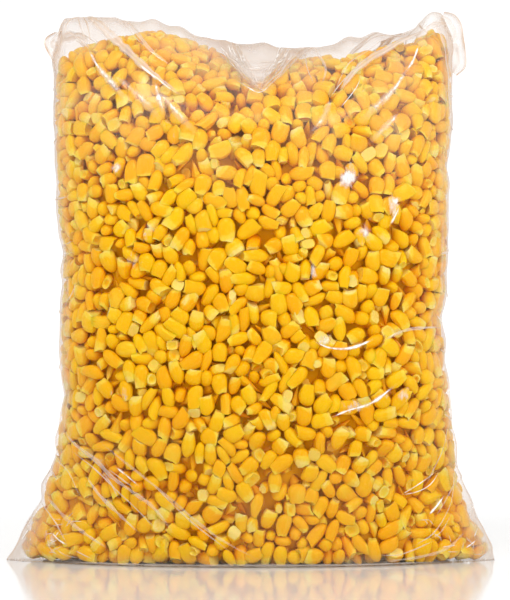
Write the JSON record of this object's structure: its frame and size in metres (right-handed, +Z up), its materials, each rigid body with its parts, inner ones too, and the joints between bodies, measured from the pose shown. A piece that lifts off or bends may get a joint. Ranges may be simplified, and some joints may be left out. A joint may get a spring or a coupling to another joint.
{
  "type": "clear bag of sweetcorn",
  "caption": "Clear film bag packed full of sweetcorn kernels, standing upright on a flat foot with flared corners, rounded shoulders and a gathered closing seam at the top.",
  "frame": {"origin": "middle of the foot, on the surface that the bag stands on", "axes": "+Z up, +X to the right across the wide front, and the front faces -Y"},
  "size_m": [0.21, 0.083, 0.2368],
  "materials": {
    "sweetcorn": "moist, softly shiny yellow kernels with pale cut ends",
    "film": "thin clear glossy film with fine creases"
  },
  "bodies": {
    "root": {"corn_bag": "sweetcorn"}
  },
  "joints": []
}
